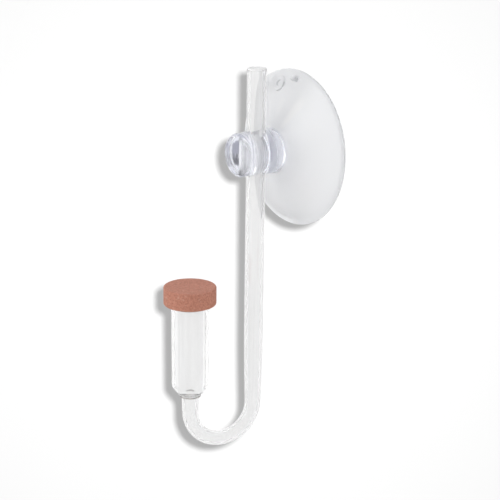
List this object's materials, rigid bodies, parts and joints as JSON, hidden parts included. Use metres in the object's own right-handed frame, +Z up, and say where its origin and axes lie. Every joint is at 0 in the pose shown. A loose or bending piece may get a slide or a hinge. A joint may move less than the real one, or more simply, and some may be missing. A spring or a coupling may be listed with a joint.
{
  "type": "carbon dioxide diffuser",
  "caption": "Clear J-shaped gas tube for a planted aquarium, with a chamber closed by a porous ceramic disc and a soft suction cup that grips the tube.",
  "frame": {"origin": "on the suction cup's axis, in the plane of the glass pane it sits on", "axes": "+Z up along the stem, +Y into the pane, so the front faces -Y"},
  "size_m": [0.0448, 0.0407, 0.1109],
  "materials": {
    "clear_vinyl": "soft, clear, bluish where it is thick",
    "clear_glass": "smooth drawn tube",
    "clear_cement": "smooth fillet",
    "porous_ceramic": "unglazed, with fine pores",
    "clear_adhesive": "smooth bead"
  },
  "bodies": {
    "cup": {"suction_cup": "clear_vinyl"},
    "stem": {"gas_stem": "clear_glass", "gas_chamber": "clear_glass", "joint_ring": "clear_cement", "ceramic_disc": "porous_ceramic", "disc_seal": "clear_adhesive"}
  },
  "joints": [
    {"name": "stem_slide", "type": "slide", "parent": "cup", "child": "stem", "axis": [0, 0, 1], "range_m": [-0.008, 0.045]}
  ]
}
